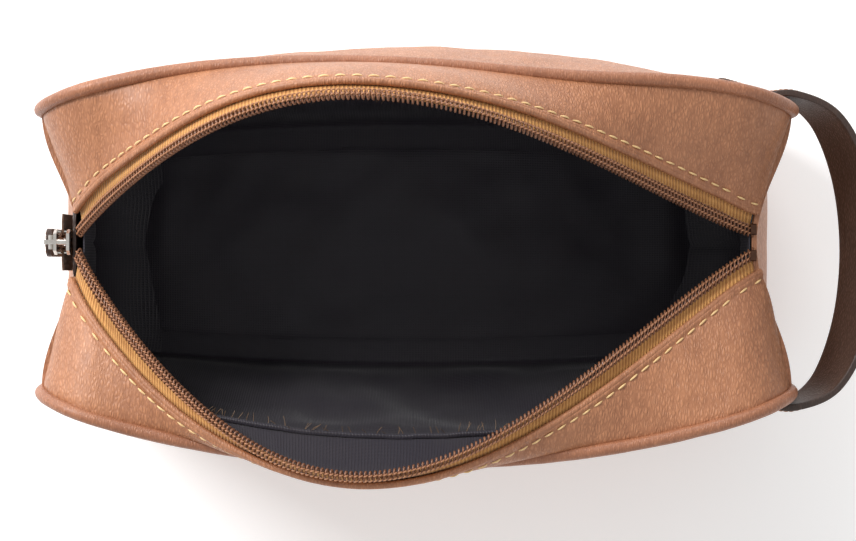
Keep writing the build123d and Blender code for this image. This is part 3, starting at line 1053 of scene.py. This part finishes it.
# %% [markdown]
# The lining is a soft inner bag, hung from the zip tapes and a little too large, so it lies in slack folds.
# The folds are slow noise that grows away from the seams, where the cloth is held.

# %% Lining
LINING = 0.0005
WALL_DEPTH = 0.0062


def fold(point, scale, seed, height):
    """Soft pleats: ridged noise, always into the bag."""
    broad = swell(point, scale, seed)
    fine = swell(point, scale * 2.6, seed + 3.1)
    return height * (0.55 + 0.75 * broad + 0.3 * fine)


SEAM_ROW = 0.24
LINING_LIP = 0.86


def side_lining(lip):
    """Hangs from the tape to the seam row, then down the wall and a little way over the floor."""
    panel = lip.panel

    def under_lip(u, share):
        a = 0.0055 + (lip.width(u) - 0.0055) * share
        here = lip.at(u, a, -0.0036 - 0.0012 * share)
        here.y -= panel["side"] * 0.0045 * smooth(share)
        here.x -= copysign(0.0045 * smooth((abs(here.x) - 0.100) / 0.022), here.x)
        return here

    def place(u, v):
        if v < SEAM_ROW:
            return under_lip(u, v / SEAM_ROW)
        down = (v - SEAM_ROW) / (1 - SEAM_ROW)
        top = under_lip(u, 1.0)
        x = top.x + (max(-0.1275, min(0.1275, top.x)) - top.x) * smooth(down * 3)
        low = edge_low(x) + 0.006
        z = top.z + (low - top.z) * min(1.0, down / LINING_LIP)
        tuck = 0.010 * smooth((down - LINING_LIP + 0.04) / (1.04 - LINING_LIP))
        held = smooth(down * 6) * smooth((LINING_LIP - down) * 6)
        slack = fold((x, 3 * panel["side"], z * 0.7), 24, lip.seed, 0.0046) * held
        wall = wall_point(panel, x, z, WALL_DEPTH + tuck + slack)
        return top.lerp(wall, smooth(down * 8))

    return place


for lip, name in LIPS:
    piece = formed(f"wall_lining_{name}", 220, 96, side_lining(lip))
    face_from(piece)
    apply_modifier(piece, "SOLIDIFY", thickness=LINING, offset=0.0)
    dressed(piece, lining_finish, None)
    bend_with_lip(piece, lip.panel)
    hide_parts(f"lining_{name}", f"strip_lining_{name}")
    area = sum(p.area for p in piece.data.polygons) / 2
    print(piece.name, len(piece.data.polygons), "area", round(area, 4))


def end_lining(direction, seed):
    band = end_band(direction, False, seed)

    def place(u, v):
        out = band(0.5 + (u - 0.5) * 0.91, v)
        share = abs(u - 0.5) * 2
        z = out.z
        top = smooth((v - 0.6) / 0.4)
        slack = max(0.0, fold(out, 30, seed, 0.0035)) * sin(pi * share) ** 0.5
        inward = 0.0030 - 0.0004 * top + slack * (1 - top)
        raised = 0.0066 * (1 - smooth(v * 2.2))
        return Vector((out.x - direction * inward, out.y, z + raised))

    return place


for direction, name, seed in ((1, "right", 12.0), (-1, "left", 15.0)):
    piece = formed(f"end_lining_cloth_{name}", 48, 60, end_lining(direction, seed))
    face_from(piece)
    apply_modifier(piece, "SOLIDIFY", thickness=LINING, offset=0.0)
    dressed(piece, lining_finish, "bag")
    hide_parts(f"lining_end_{name}")
    area = sum(p.area for p in piece.data.polygons) / 2
    print(piece.name, "area", round(area, 4))


def floor_lining(u, v):
    x = 0.110 * (2 * u - 1)
    reach = wall_y(BACK, x, 0.008) - 0.0095
    y = reach * (2 * v - 1)
    rim = smooth((1 - abs(2 * u - 1)) * 8) * smooth((1 - abs(2 * v - 1)) * 5)
    rise = corner_drop(x, CORNER_LOW, 0.004)
    return Vector((x, y, 0.0064 + rise + rim * max(0.0, fold((x, y, 0), 26, 31.0, 0.0035))))


piece = formed("floor_lining_cloth", 130, 60, floor_lining)
face_from(piece)
apply_modifier(piece, "SOLIDIFY", thickness=LINING, offset=0.0)
dressed(piece, lining_finish, "bag")
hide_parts("lining_base")
area = sum(p.area for p in piece.data.polygons) / 2
print(piece.name, "area", round(area, 4))

# %% [markdown]
# Where the lining of a lip meets the lining of a wall, the raw edges are bound into a soft ridge that
# stands into the bag. It's home sewing: here and there a thread of the cloth has frayed out. The frayed
# ends are short curved tubes in bunches, placed by a fixed formula.

# %% Seam ridges and frayed threads
RIDGE = 0.0011


def ridge_path(lip, start, stop, steps=200):
    """Along the lining's seam, a little way into the bag."""
    surface = side_lining(lip)
    inward = Vector((0, -lip.panel["side"], 0))
    points = []
    for i in range(steps + 1):
        u = start + (stop - start) * i / steps
        here = surface(u, SEAM_ROW + 0.015)
        points.append(here + inward * (0.0012 + 0.0005 * swell(here, 90, 40.0)))
    return points


def frayed(path, inward, count, seed):
    """Short curved threads that stand out of a ridge in bunches, each as a list of points."""
    hairs = []
    for n in range(count):
        bunch = (n // 6 * 0.61803 + 0.13) % 1.0
        start = path[int((0.06 + 0.88 * bunch + 0.012 * (n % 6)) * (len(path) - 1)) % len(path)]
        spread = swell((n * 1.37, 0, 0), 1.0, seed)
        lift = swell((0, n * 0.91, 0), 1.0, seed + 2)
        heading = (inward + Vector((spread * 1.8, 0, lift * 1.5 + 0.2))).normalized()
        reach = 0.003 + 0.0035 * abs(swell((0, 0, n * 0.77), 1.0, seed))
        curl = Vector((lift, 0.4 * spread, -spread)) * 0.004
        hairs.append([start + heading * (reach * i / 5) + curl * (i / 5) ** 2 for i in range(6)])
    return hairs


for lip, name in LIPS:
    path = ridge_path(lip, 0.04, 0.96)
    ridge = formed(f"lining_seam_{name}", 200, 9, tube_round(path, RIDGE, False))
    joined_ends(ridge)
    dressed(ridge, lining_finish, None)
    bend_with_lip(ridge, lip.panel)
    inward = Vector((0, -lip.panel["side"], 0))
    tufts = [thin_tube("tuft", hair, 0.00009, 4) for hair in frayed(path, inward, 84, lip.seed)]
    alone(tufts[0])
    for tuft in tufts[1:]:
        tuft.select_set(True)
    bpy.ops.object.join()
    tufts[0].name = tufts[0].data.name = f"frayed_threads_{name}"
    dressed(tufts[0], fray_finish, None)
    bend_with_lip(tufts[0], lip.panel)
    print(ridge.name, tufts[0].name, len(tufts[0].data.polygons))

# %% [markdown]
# The handle is a flat strap of dark leather, sewn to both panels near the right end and bowing out past the
# piping. It's one strip: a sheet is laid along a smooth curve through a few chosen points, given its
# thickness, and its cut edges are rounded with a bevel, as burnished leather edges are. The loop sags a
# little and its upper edge leans outwards.

# %% Handle
HANDLE_Z = 0.088
HANDLE_WIDTH = 0.024
HANDLE_THICK = 0.0024
HANDLE_BACK_X = (0.106, 0.114, 0.122)
HANDLE_LOOP = ((0.133, 0.0517), (0.1465, 0.043), (0.155, 0.024))
HANDLE_LOOP += ((0.158, -0.003), (0.155, -0.030), (0.1465, -0.0495))
HANDLE_FRONT_TURN = (0.133, -0.0577)


def spline(points, t):
    """A smooth curve through all its points (Catmull-Rom), t from 0 to 1."""
    spans = len(points) - 1
    i = min(spans - 1, int(t * spans))
    k = t * spans - i
    a, b, c, d = (Vector(points[min(spans, max(0, j))]) for j in (i - 1, i, i + 1, i + 2))
    return 0.5 * (2 * b + (c - a) * k + (2 * a - 5 * b + 4 * c - d) * k * k + (3 * b - a - 3 * c + d) * k**3)


def handle_points():
    """The strap's middle line in plan: along the back panel, round the loop and along the front panel."""
    off_wall = 0.0008 + HANDLE_THICK / 2
    back = [(x, wall_y(BACK, x, HANDLE_Z) + off_wall, 0) for x in HANDLE_BACK_X]
    front = [(x, -wall_y(FRONT, x, HANDLE_Z) - off_wall, 0) for x in reversed(HANDLE_BACK_X)]
    return [*back, *((x, y, 0) for x, y in (*HANDLE_LOOP, HANDLE_FRONT_TURN)), *front]


HANDLE_POINTS = handle_points()


def strap(u, v):
    here = spline(HANDLE_POINTS, u)
    ahead, behind = spline(HANDLE_POINTS, min(1, u + 0.004)), spline(HANDLE_POINTS, max(0, u - 0.004))
    forward = (ahead - behind).normalized()
    outward = Vector((-forward.y, forward.x, 0))
    loop = smooth((here.x - 0.128) / 0.028)
    across = v - 0.5
    end = min(u, 1 - u) * 26
    half = HANDLE_WIDTH * (1 - 0.22 * max(0.0, 1 - end) ** 2)
    return here + Vector((0, 0, HANDLE_Z - 0.005 * loop + half * across)) + outward * (0.008 * loop * across)


def outward_of(obj, middle):
    """Turns an open sheet's faces away from a point and returns it."""
    face_from(obj, middle)
    return obj


def thickened(obj, thickness, offset, bevel):
    """A cut piece of leather: the sheet gets its thickness and rounded edges."""
    apply_modifier(obj, "SOLIDIFY", thickness=thickness, offset=offset)
    apply_modifier(obj, "BEVEL", width=bevel, segments=3, limit_method="ANGLE", angle_limit=radians(50))
    return obj


def seam_on(surface, route, count, lift, middle):
    """Places for stitches along a route on a surface; each is lifted away from a middle point."""
    places = []
    for n in range(count):
        t = (n + 0.5) / count
        here = surface(*route(t))
        step = 0.3 / count
        ahead = (surface(*route(min(1, t + step))) - surface(*route(max(0, t - step)))).normalized()
        u, v = route(t)
        across = surface(min(1, u + 0.003), v) - surface(max(0, u - 0.003), v)
        up = surface(u, min(1, v + 0.02)) - surface(u, max(0, v - 0.02))
        out = across.cross(up).normalized()
        if out.dot(here - Vector(middle)) < 0:
            out.negate()
        places.append((here + out * lift, ahead, out))
    return places


HANDLE_MIDDLE = (0.06, 0, HANDLE_Z)
handle = outward_of(formed("handle_leather", 130, 10, strap), HANDLE_MIDDLE)
thickened(handle, HANDLE_THICK, 0.0, 0.0008)
dressed(handle, dark_leather, None)
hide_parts("handle_strap", "handle_end_back", "handle_end_front")

seams = []
for v in (0.13, 0.87):
    seams += seam_on(strap, lambda t, v=v: (0.02 + 0.96 * t, v), 76, HANDLE_THICK / 2, HANDLE_MIDDLE)
for u in (0.02, 0.115, 0.885, 0.98):
    seams += seam_on(strap, lambda t, u=u: (u, 0.15 + 0.7 * t), 5, HANDLE_THICK / 2, HANDLE_MIDDLE)
handle_seams = sewn("handle_stitching", seams, 0.0026, 0.0003)
dressed(handle_seams, coil_thread_finish, None)
for piece in (handle, handle_seams):
    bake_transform(piece)
print(handle.name, len(handle.data.polygons), "stitches", len(seams))

# %% [markdown]
# Two small pieces of dark leather belong to the zip: a patch that backs its closed tail at the left end,
# and the tab that hangs from the slider as a pull. Both are cut with round corners and sewn along the edge.
# A square grid squeezed towards a rounded outline keeps its even faces.

# %% Patch and pull tab


def rounded_plate(x, low, high, half, radius, bulge=0.0):
    """place(u, v) on an upright plate across Y and Z at x with round corners."""

    def place(u, v):
        z = low + (high - low) * v
        to_edge = min(z - low, high - z)
        drop = radius - sqrt(max(0.0, radius**2 - max(0.0, radius - to_edge) ** 2))
        y = (2 * u - 1) * (half - drop)
        return Vector((x - bulge * sin(pi * u) * sin(pi * v), y, z))

    return place


def plate_rim(t):
    """Once round a plate, a little inside its edge."""
    corner = ((0.1, 0.08), (0.9, 0.08), (0.9, 0.92), (0.1, 0.92), (0.1, 0.08))
    i = min(3, int(t * 4))
    k = t * 4 - i
    (u0, v0), (u1, v1) = corner[i], corner[i + 1]
    return u0 + (u1 - u0) * k, v0 + (v1 - v0) * k


PLATES = (
    ("tail_patch", "end_tab", rounded_plate(-0.1208, 0.064, 0.094, 0.013, 0.005), 0.0013, "bag", 34),
    ("pull_leather", "pull_tab", rounded_plate(-0.1312, 0.056, 0.086, 0.005, 0.004, 0.0003), 0.002, "pull", 28),
)
for name, node, surface, thick, body, count in PLATES:
    piece = outward_of(formed(name, 24, 40, surface), (0, 0, 0.075))
    thickened(piece, thick, 0.0, 0.0006)
    dressed(piece, dark_leather, body)
    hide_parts(node)
    holes = seam_on(surface, plate_rim, count, thick / 2, (0, 0, 0.075))
    rim = sewn(f"{name}_stitching", holes, 0.002, 0.00026)
    dressed(rim, coil_thread_finish, body)
    print(piece.name, len(piece.data.polygons))

# %% [markdown]
# Below the slider the zip is closed. Its two coils mesh into one row of teeth between two strips of tape,
# held at the bottom by a metal stop.

# %% The closed tail of the zip
TAIL_LOW = 0.0653
TAIL_HIGH = 0.0952
TAIL_X = -0.12465


POST_REACH = 0.081


def tail_coil(side):
    """Meshes with the other coil up to where the slider's post comes down, and stands clear of it above."""
    turns = int((TAIL_HIGH - TAIL_LOW) / TOOTH_PITCH)
    points = []
    for i in range(turns * TURN_STEPS + 1):
        turn = 2 * pi * (i / TURN_STEPS + (0.25 if side > 0 else -0.25))
        z = TAIL_LOW + NYLON + (TAIL_HIGH - TAIL_LOW - 2 * NYLON) * i / (turns * TURN_STEPS)
        apart = smooth((z - POST_REACH) / 0.004)
        y = 0.0016 + 0.0006 * apart + (0.0013 - 0.0007 * apart) * cos(turn)
        points.append(Vector((TAIL_X - 0.0009 * sin(turn), side * y, z)))
    return points


def tail_tape(side):
    def place(u, v):
        y = 0.0026 + 0.0074 * v
        x = TAIL_X + 0.00005 - 0.0002 * sin(pi * v)
        return Vector((x, side * y, TAIL_LOW + (TAIL_HIGH - TAIL_LOW) * u))

    return place


for side, name in ((1, "back"), (-1, "front")):
    coil = thin_tube(f"tail_teeth_{name}", tail_coil(side), NYLON)
    dressed(coil, coil_finish, "bag", 80.0)
    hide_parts(f"tail_coil_{name}")
    tape = outward_of(formed(f"tail_cloth_{name}", 60, 14, tail_tape(side)), (0, 0, 0.075))
    apply_modifier(tape, "SOLIDIFY", thickness=0.0006, offset=0.0)
    dressed(tape, tail_finish, "bag")
    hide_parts(f"tail_tape_{name}")
    print(coil.name, tape.name)

# %% [markdown]
# The nodes whose CAD shape is right stay as they are and only get a finish.

# %% Finishes for the frame's own nodes
KEPT = {
    nickel: ("slider_body", "slider_bridge", "pull_link", "pull_rivet", "bottom_stop"),
    board_finish: ("base_board",),
    dark_metal: ("top_stop_back", "top_stop_front"),
}
for material, names in KEPT.items():
    for node in names:
        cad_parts[node].data.materials.clear()
        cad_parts[node].data.materials.append(material)
print("kept nodes", sum(len(names) for names in KEPT.values()))
